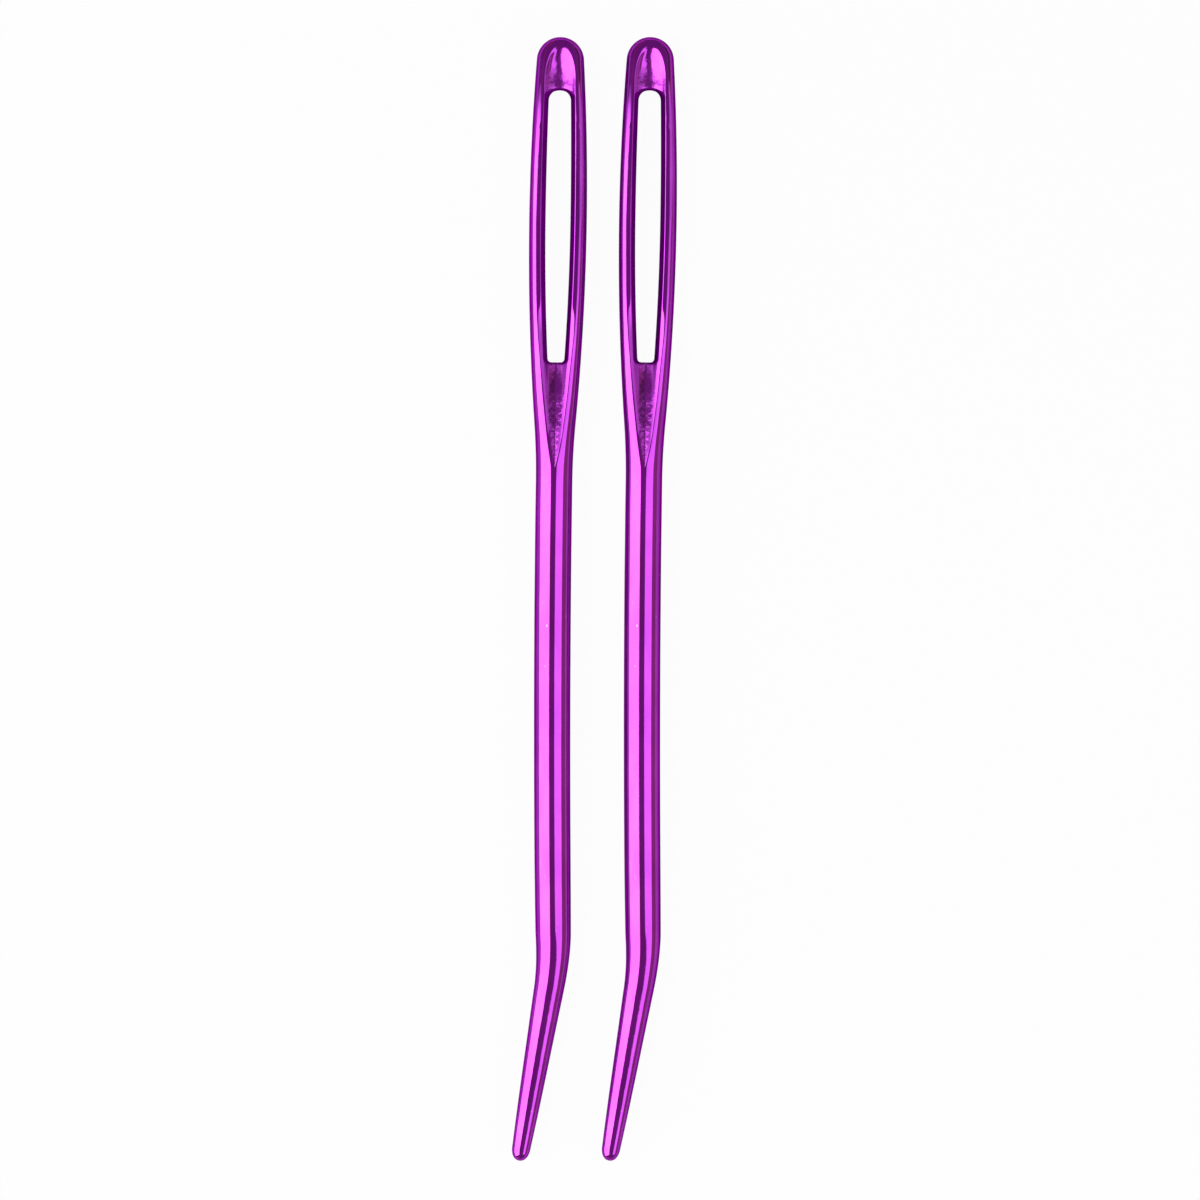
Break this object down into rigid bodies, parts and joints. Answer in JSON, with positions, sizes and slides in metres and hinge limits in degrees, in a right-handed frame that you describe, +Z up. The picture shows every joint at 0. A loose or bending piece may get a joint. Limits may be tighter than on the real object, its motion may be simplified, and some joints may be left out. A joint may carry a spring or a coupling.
{
  "type": "yarn needle",
  "caption": "Bent-tip yarn needles lying flat side by side, each a slim purple rod with a blunt angled tip, a flattened head and a long slot eye with a scoop and a gutter.",
  "frame": {"origin": "middle of the pair's outline, on the surface that the needles lie on", "axes": "+Y along the needles from the tips to the eyes, +Z up from the surface, +X from the left needle to the right one; the tips bend to -X"},
  "size_m": [0.0106, 0.072, 0.0023],
  "materials": {
    "purple_anodised": "mirror-bright, dyed and anodised"
  },
  "bodies": {
    "left_needle": {"left_needle_shaft": "purple_anodised", "left_needle_head": "purple_anodised"},
    "right_needle": {"right_needle_shaft": "purple_anodised", "right_needle_head": "purple_anodised"}
  },
  "joints": [
    {"name": "right_needle_aside", "type": "slide", "parent": "left_needle", "child": "right_needle", "axis": [1, 0, 0], "range_m": [0, 0.02]}
  ]
}
